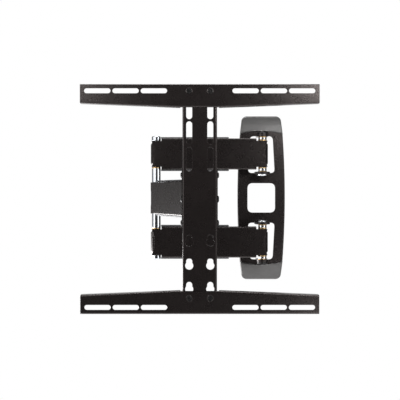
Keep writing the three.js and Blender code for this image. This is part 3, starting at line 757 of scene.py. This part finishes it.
def arm(half, ends):
    """A folded channel along +X with a closed wall, a web plate, two ribs and a barrel at each end.

    An End has its axis x, the way into the arm, its barrel's and its web plate's heights, how far that
    plate runs past the axis, and how deep its edge is hollowed.
    """
    body = prism(channel(half, ARM_FRONT, ARM_BACK), (CHANNEL_FROM, ARM_LENGTH - CHANNEL_FROM), "X")
    web_y = (ARM_FRONT, ARM_FRONT + SHEET)
    parts = []
    for wall in (CHANNEL_FROM, ARM_LENGTH - CHANNEL_FROM - SHEET):
        wall_z = (OVERLAP - half, half - OVERLAP)
        parts.append(box((wall, wall + SHEET), (ARM_FRONT + OVERLAP, ARM_BACK), wall_z))
    tools = []
    for end in ends:
        low, high = end.barrel
        inside = end.x + end.way * WEB_REACH
        parts.append(barrel(end.x, end.barrel))
        parts.append(box((end.x - end.way * end.past, inside), web_y, end.web))
        for z in (low + RIB_INSET, high - RIB_INSET - SHEET):
            parts.append(box((end.x, inside), (ARM_FRONT, RIB_BACK), (z, z + SHEET)))
        tools.append(prism(circle(end.x, 0, BUSH_R + GAP), (low - PAST, high + PAST), "Z"))
        arc_x = end.x - end.way * (end.past + ARC_END_R - end.bite)
        hollow_end = circle(arc_x, (low + high) / 2, ARC_END_R, steps=160)
        tools.append(prism(hollow_end, (ARM_FRONT - PAST, ARM_FRONT + SHEET), "Y"))
    return cut(join(body, *parts), *tools)


def rear_arm(side):
    """An arm drawn about its own middle height."""

    def around(span, inset=0):
        return ordered(side, span[0] + inset - ARM_Z, span[1] - inset - ARM_Z)

    return arm(REAR_HALF, [
        End(x=0, way=1, barrel=around(ELBOW_BARREL), web=around(ELBOW_BARREL, WEB_INSET), past=10, bite=7),
        End(
            x=ARM_LENGTH, way=-1, barrel=around(WALL_BARREL), web=around(WALL_BARREL, WEB_INSET),
            past=10, bite=6,
        ),
    ])


def front_arm():
    span = (-FRONT_BARREL, FRONT_BARREL)
    web = (OVERLAP - FRONT_HALF, FRONT_HALF - OVERLAP)
    return arm(FRONT_HALF, [
        End(x=0, way=1, barrel=span, web=web, past=1, bite=3),
        End(x=ARM_LENGTH, way=-1, barrel=span, web=web, past=8, bite=5),
    ])


def cable_cover(half, span):
    """A clip-on cover over the open back of an arm; its long lips grip the flanges from outside."""
    low, high = span
    back = ARM_BACK + GAP + COVER_BACK
    outer, inner = half + GAP + COVER_WALL, half + GAP
    corners = [(COVER_LIP, -outer), (back, -outer), (back, outer), (COVER_LIP, outer)]
    shell = prism(rounded(corners, COVER_CORNER, 5), (low, high), "X")
    hollow = box((low - PAST, high + PAST), (COVER_LIP - PAST, ARM_BACK + GAP), (-inner, inner))
    start, stop = (high + step for step in CABLE_MOUTH)
    mouth = prism(slot(start, 0, stop, 0, CABLE_MOUTH_R, steps=20), (ARM_BACK, back + PAST), "Y")
    return cut(shell, hollow, mouth)


# ---------------------------------------------------------------- tilt fittings and spine

GUIDE_PLATE = 1.2
HEAD_IN = SPINE_HALF + GAP + GUIDE_PLATE + GAP  # where the cross bolts' heads and nuts start
CROSS_BOLTS = {"pivot": (4, 0), "upper_guide": (3, 45), "lower_guide": (3, -45)}  # radius and height
CROSS_HEAD = 2.6  # how far a head stands out from its bolt, and how thick it is
CROSS_DOME = (0.8, 2)  # the dome's shoulder and its foot, from the head's outer face
CROSS_EASE = 0.9
CROSS_TIP = 2  # how far the bolt stops short of its nut's base
CROSS_COLLAR = 1  # the nut's collar, its wall and its length
CROSS_AIR = 1.3  # room in the spine's flanges for that collar


def cross_bolt(r, z):
    """A bolt across the spine, its domed head on the left."""
    shoulder, foot = CROSS_DOME
    head_r, left = r + CROSS_HEAD, -HEAD_IN - CROSS_HEAD
    profile = [(0, left), (head_r - CROSS_HEAD, left), (head_r - shoulder, left + shoulder)]
    profile += [(head_r, left + foot), (head_r, -HEAD_IN), (r, -HEAD_IN)]
    profile += [(r, HEAD_IN - CROSS_TIP), (0, HEAD_IN - CROSS_TIP)]
    return turned(profile, "X", ease=CROSS_EASE, at=(0, TILT_Y, z))


def cross_nut(r, z):
    """The bolt's domed nut on the right, with a collar that reaches into the spine's flange."""
    shoulder, foot = CROSS_DOME
    head_r, right = r + CROSS_HEAD, HEAD_IN + CROSS_HEAD
    bore, collar = r + GAP, HEAD_IN - CROSS_COLLAR
    profile = [(0, collar), (bore, collar), (bore + CROSS_COLLAR, collar)]
    profile += [(bore + CROSS_COLLAR, HEAD_IN), (head_r, HEAD_IN), (head_r, right - foot)]
    profile += [(head_r - shoulder, right - shoulder), (head_r - CROSS_HEAD, right), (0, right)]
    return turned(profile, "X", ease=CROSS_EASE, at=(0, TILT_Y, z))


def keyhole(x, top):
    """A round hole with a narrower slot above it, drawn as one outline."""
    narrow, wide, tall = 5.6, 7.5, 21
    low = top - tall + wide
    neck = math.degrees(math.asin(narrow / wide))
    upper = arc(x, top - narrow, narrow, 0, 180, steps=20)
    return upper + arc(x, low, wide, 90 + neck, 450 - neck, steps=40)


def spine():
    """A tall folded channel with two rows of slots and keyholes, and lugs for the tilt pivot."""
    section = [(x, y) for y, x in channel(SPINE_HALF, SPINE_FRONT, SPINE_LUG)]
    body = prism(section, SPINE_Z, "Z")
    across = (-SPINE_HALF - PAST, SPINE_HALF + PAST)
    behind = SPINE_LUG + PAST
    cutters = []
    for side, end in ((1, SPINE_Z[1]), (-1, SPINE_Z[0])):
        beyond = abs(end) + PAST
        waste = [(SPINE_BACK, LUG_ROOT), (SPINE_LUG, LUG_TIP), (behind, LUG_TIP)]
        waste += [(behind, beyond), (SPINE_BACK, beyond)]
        cutters.append(prism(mirrored(waste, side), across, "X"))
    through = (SPINE_FRONT - PAST, SPINE_FRONT + SHEET + PAST)
    for x in (-HOLE_X, HOLE_X):
        outlines = [slot(x, low, x, high, SPINE_SLOT_R) for low, high in SPINE_SLOTS]
        outlines += [keyhole(x, top) for top in KEYHOLE_TOPS]
        outlines.append(circle(x, LOWER_BOLT_Z, SPINE_HOLE_R, steps=28))
        cutters += [prism(outline, through, "Y") for outline in outlines]
    for r, z in CROSS_BOLTS.values():
        cutters.append(prism(circle(TILT_Y, z, r + GAP + CROSS_AIR), across, "X"))
    return cut(body, *cutters)


# ---------------------------------------------------------------- rails


def rail_outline(side, inset, end_x):
    """A rail's outline out to its ends, moved inwards by an inset."""
    edge = RAIL_EDGE - inset
    middle = RAIL_EDGE - RAIL_HEIGHT_MID + inset
    end = RAIL_EDGE - RAIL_HEIGHT_END + inset
    taper = [(-end_x, end), (-RAIL_FLAT, middle), (RAIL_FLAT, middle), (end_x, end)]
    return mirrored([(end_x, edge), (-end_x, edge), *taper], side)


def rail(side, bolt_z):
    """A folded rail: straight along its outer edge, tapering from the middle along the other."""
    inside = RAIL_FRONT + SHEET
    through = (RAIL_FRONT - PAST, inside + PAST)
    behind = (inside, RAIL_BACK + PAST)

    def long_edges(y):
        return lambda a, b: a.y == b.y == y and abs(a.x - b.x) > 20

    body = prism(rail_outline(side, 0, RAIL_HALF), (RAIL_FRONT, RAIL_BACK), "Y")
    body = folded(body, BEND, long_edges(RAIL_FRONT))
    hollow = prism(rail_outline(side, SHEET, RAIL_HALF + RAIL_END_CUT), behind, "Y")
    hollow = folded(hollow, BEND - SHEET, long_edges(inside), 2)
    cutters = [hollow, box((-RAIL_NOTCH, RAIL_NOTCH), behind, ordered(side, *RAIL_NOTCH_Z))]
    for end in (1, -1):
        row = side * RAIL_SLOT_ROW
        for start in RAIL_SLOTS:
            outline = slot(end * start, row, end * (start + RAIL_SLOT_LENGTH), row, RAIL_SLOT_R)
            cutters.append(prism(outline, through, "Y"))
        hole = [(0, through[0]), (BOLT_HEAD_R + GAP + PAST, through[0]), (BOLT_R + GAP, inside)]
        hole += [(BOLT_R + GAP, through[1]), (0, through[1])]
        cutters.append(turned(hole, "Y", sides=40, ease=0.05, at=(end * HOLE_X, 0, bolt_z)))
    return cut(body, *cutters)


def rail_bolt(x, z):
    """A countersunk bolt with a hexagon socket, flush with the front of the rail."""
    front = RAIL_FRONT + GAP
    tip = SPINE_FRONT + BOLT_LENGTH
    profile = [(0, front), (BOLT_HEAD_R - 0.3, front), (BOLT_R, front + SHEET - 0.2)]
    profile += [(BOLT_R, tip), (0, tip)]
    bolt = turned(profile, "Y", sides=48, ease=0.3, at=(x, 0, z))
    socket = (front - PAST, front + BOLT_SOCKET_DEPTH)
    return cut(bolt, prism(circle(x, z, BOLT_SOCKET_R, HEXAGON), socket, "Y"))


def flange_nut(x, z):
    """A hexagon nut with a round flange that rests on the back of the spine's web."""
    seat = SPINE_FRONT + SHEET + GAP
    top = seat + NUT_HEIGHT
    neck_r, neck = FLANGE_NUT_NECK
    profile = [(0, seat), (FLANGE_NUT_R, seat), (FLANGE_NUT_R, seat + FLANGE_NUT_RIM)]
    profile += [(neck_r, seat + neck), (0, seat + neck)]
    flange = turned(profile, "Y", sides=48, at=(x, 0, z))
    hexagon = prism(circle(x, z, NUT_HEXAGON_R, HEXAGON), (seat + OVERLAP, top), "Y")
    bore = prism(circle(x, z, BOLT_R + GAP, steps=32), (seat - PAST, top + PAST), "Y")
    return cut(join(flange, hexagon), bore)


# ---------------------------------------------------------------- assembly


def wall_hinge(side, level):
    """One of the two hinges at the wall: bolt, nut, rings and bushings."""
    bolt = hinge_bolt(side, BARREL_R, HINGE_BOLT_HEAD, HINGE_BOLT_TIP)
    place(f"{level}_hinge_bolt", bolt, WALL_HINGE, "black_oxide", NO_EASE)
    nut = domed_nut(side, HINGE_NUT_R, HINGE_NUT, HINGE_NUT_BORE)
    place(f"{level}_hinge_nut", nut, WALL_HINGE, "chrome", NO_EASE)
    for where in ("outer", "inner"):
        for kind, slot_name in (("washer", "brass"), ("spacer", "chrome")):
            node = f"{level}_hinge_{where}_{kind}"
            profile = ring_profile(BORE_R, width(node) / 2, *heights(node))
            place(node, turned(profile, ease=0.45), WALL_HINGE, slot_name, NO_EASE)
    low, high = WALL_BARREL
    place(f"{level}_hinge_outer_bushing", bushing(side, high + GAP), WALL_HINGE, "brass", NO_EASE)
    place(f"{level}_hinge_inner_bushing", bushing(-side, GAP - low), WALL_HINGE, "brass", NO_EASE)


def spacer(node, placing):
    """A chrome tube between two barrels, as long as its CAD node."""
    profile = ring_profile(BORE_R, RING_R, *heights(node))
    place(node, turned(profile), placing, "chrome", NO_EASE)


def arm_set(side, level):
    """A rear arm with its cover, and the rings on its side of the elbow and of the pan pin."""
    raised = ELBOW @ Matrix.Translation((0, 0, side * ARM_Z))
    place(f"{level}_rear_arm", rear_arm(side), raised, "powder_coat")
    place(f"{level}_cable_cover", cable_cover(REAR_HALF, COVER_SPAN), raised, "cover_plastic")
    low, _ = ELBOW_BARREL
    place(f"{level}_elbow_bushing", bushing(-side, GAP - low), ELBOW, "brass", NO_EASE)
    spacer(f"{level}_elbow_spacer", ELBOW)
    far = FRONT_ARM @ Matrix.Translation((ARM_LENGTH, 0, 0))
    for hinge, placing in (("front", FRONT_ARM), ("pan", far)):
        ring = bushing(side, FRONT_BARREL + GAP)
        place(f"{level}_{hinge}_bushing", ring, placing, "brass", NO_EASE)
    spacer(f"{level}_pan_spacer", HEAD)


def rail_set(side, level, bolt_z):
    """A rail with its two bolts and nuts."""
    place(f"{level}_rail", rail(side, bolt_z), HEAD, "powder_coat")
    for x, hand in ((-HOLE_X, "left"), (HOLE_X, "right")):
        place(f"{level}_rail_bolt_{hand}", rail_bolt(x, bolt_z), HEAD, "black_oxide", NO_EASE)
        place(f"{level}_rail_nut_{hand}", flange_nut(x, bolt_z), HEAD, "black_oxide", NUT_EASE)


def pin_and_nut(pin, nut, head, tip, bore, placing, slot_name):
    """A long pin with its head on top, and the domed nut that mirrors the head below."""
    place(pin, hinge_bolt(1, PIN_HEAD_R, head, tip), placing, slot_name, NO_EASE)
    place(nut, domed_nut(1, PIN_HEAD_R, ordered(-1, *head), bore), placing, slot_name, NO_EASE)


place("wall_plate", wall_plate(), MOUNT, "powder_coat")
for side, level in ((1, "upper"), (-1, "lower")):
    place(f"{level}_end_cap", end_cap(side), MOUNT, "cap_plastic", NO_EASE)
    wall_hinge(side, level)
    arm_set(side, level)
pin_and_nut("elbow_pin", "elbow_cap_nut", ELBOW_CAP, ELBOW_TIP, ELBOW_NUT_BORE, ELBOW, "chrome")
place("front_arm", front_arm(), FRONT_ARM, "powder_coat")
place("front_cable_cover", cable_cover(FRONT_HALF, FRONT_COVER_SPAN), FRONT_ARM, "cover_plastic")
pin_and_nut("pan_pin", "pan_nut", PAN_HEAD, PAN_TIP, PAN_NUT_BORE, HEAD, "black_oxide")
place("spine", spine(), HEAD, "powder_coat")
for name, (r, z) in CROSS_BOLTS.items():
    place(f"{name}_bolt", cross_bolt(r, z), HEAD, "black_oxide", NO_EASE)
    place(f"{name}_nut", cross_nut(r, z), HEAD, "black_oxide", NO_EASE)
rail_set(1, "upper", RAIL_SLOT_ROW)
rail_set(-1, "lower", LOWER_BOLT_Z)

# the yoke and guide plates keep their CAD shape, with their cut edges broken
for node in ("pan_yoke", "left_guide_plate", "right_guide_plate"):
    sheet_part = frame["nodes"][node]
    flatten = sheet_part.modifiers.new("flat_faces", "DECIMATE")
    flatten.decimate_type = "DISSOLVE"
    flatten.angle_limit = FLAT_WITHIN
    broken_edges(sheet_part, EASE)
    dress(sheet_part, "powder_coat")

# ---------------------------------------------------------------- stage, light and camera


WHITE = (1, 1, 1, 1)
FLOOR_MIDDLE = (-0.1, 0)
FLOOR_R = 1.15
FLOOR_Z = (-0.83, -0.8)  # well below the mount, which hangs on a wall
ROOM = 0.04  # the backdrop's glow on the room side
CAMERA_AT = (-0.1379, -1.776, 0.0144)
CAMERA_DOWN = 0.0109  # radians below level
LENS = 70.5
SENSOR = 36

# name, place, what it faces, width and height, all in metres, and radiance
SOFTBOXES = [
    ("left_softbox", (-1.35, -0.95, 0.05), (-0.13, -0.2, 0), (0.9, 1.3), 1.6),
    ("right_softbox", (1.15, -0.95, 0.05), (-0.13, -0.2, 0), (0.9, 1.3), 1.6),
    ("left_key", (-0.6, -0.85, 0.42), (-0.33, -0.3, 0.1), (0.3, 0.3), 9),
    ("left_fill", (-1.0, -1.75, 0.35), (-0.25, -0.2, 0.05), (0.9, 0.7), 1.3),
    ("right_key", (0.3, -0.87, 0.4), (0.05, -0.3, 0.1), (0.3, 0.3), 17),
    ("low_key", (0.3, -0.87, -0.45), (0.05, -0.3, -0.1), (0.3, 0.3), 6),
    ("low_side_fill", (-0.7, 0.14, -0.34), (-0.19, -0.15, 0), (0.6, 0.4), 13),
    ("top_softbox", (-0.15, -0.05, 1.4), (-0.15, -0.2, 0.1), (0.9, 0.4), 14),
]


def floor():
    """A plain round pale floor."""
    disc = prism(circle(*FLOOR_MIDDLE, FLOOR_R, steps=120), FLOOR_Z, "Z")
    disc.name = "floor"
    pale = Finish("pale_floor", Base_Color=WHITE, Roughness=0.6)
    pale.set(Emission_Color=WHITE, Emission_Strength=0.5)
    disc.data.materials.append(pale.material)


def softbox(name, place_at, aim, size, radiance):
    """An area light whose power follows from its size, so that its radiance is what is set."""
    light = bpy.data.lights.new(name, "AREA")
    light.shape = "RECTANGLE"
    light.size, light.size_y = size
    light.energy = radiance * math.pi * size[0] * size[1]
    obj = bpy.data.objects.new(name, light)
    obj.location = place_at
    obj.rotation_euler = (Vector(aim) - Vector(place_at)).to_track_quat("-Z", "Y").to_euler()
    bpy.context.scene.collection.objects.link(obj)


def backdrop():
    """White to the camera; as a light it is bright behind and below, fainter on the left, else dim."""
    world = bpy.data.worlds.new("studio")
    world.use_nodes = True
    bpy.context.scene.world = world
    nodes, links = world.node_tree.nodes, world.node_tree.links
    way = nodes.new("ShaderNodeSeparateXYZ")
    links.new(nodes.new("ShaderNodeTexCoord").outputs["Generated"], way.inputs[0])

    def ramp(value, low, high, out_low, out_high):
        node = nodes.new("ShaderNodeMapRange")
        node.interpolation_type = "SMOOTHSTEP"
        for key, number in zip((1, 2, 3, 4), (low, high, out_low, out_high)):
            node.inputs[key].default_value = number
        links.new(value, node.inputs[0])
        return node.outputs[0]

    def larger(a, b):
        node = nodes.new("ShaderNodeMath")
        node.operation = "MAXIMUM"
        links.new(a, node.inputs[0])
        links.new(b, node.inputs[1])
        return node.outputs[0]

    behind = ramp(way.outputs[1], 0.78, 0.97, ROOM, 1.0)
    below = ramp(way.outputs[2], -0.75, -0.12, 1.6, ROOM)
    beside = ramp(way.outputs[0], -0.45, -0.7, ROOM, 0.25)
    glow = larger(larger(behind, below), beside)
    seen = nodes.new("ShaderNodeLightPath").outputs["Is Camera Ray"]
    background = nodes["Background"]
    links.new(larger(glow, seen), background.inputs["Strength"])
    background.inputs["Color"].default_value = WHITE


def camera():
    """Square to the wall, a little above the mount's middle and tilted down to it."""
    lens = bpy.data.cameras.new("camera")
    lens.sensor_width = SENSOR
    lens.lens = LENS
    obj = bpy.data.objects.new("camera", lens)
    obj.location = CAMERA_AT
    obj.rotation_euler = (math.pi / 2 - CAMERA_DOWN, 0, 0)
    bpy.context.scene.collection.objects.link(obj)
    bpy.context.scene.camera = obj
    bpy.context.scene.view_settings.view_transform = "Standard"


floor()
for row in SOFTBOXES:
    softbox(*row)
backdrop()
camera()

bpy.context.view_layer.update()
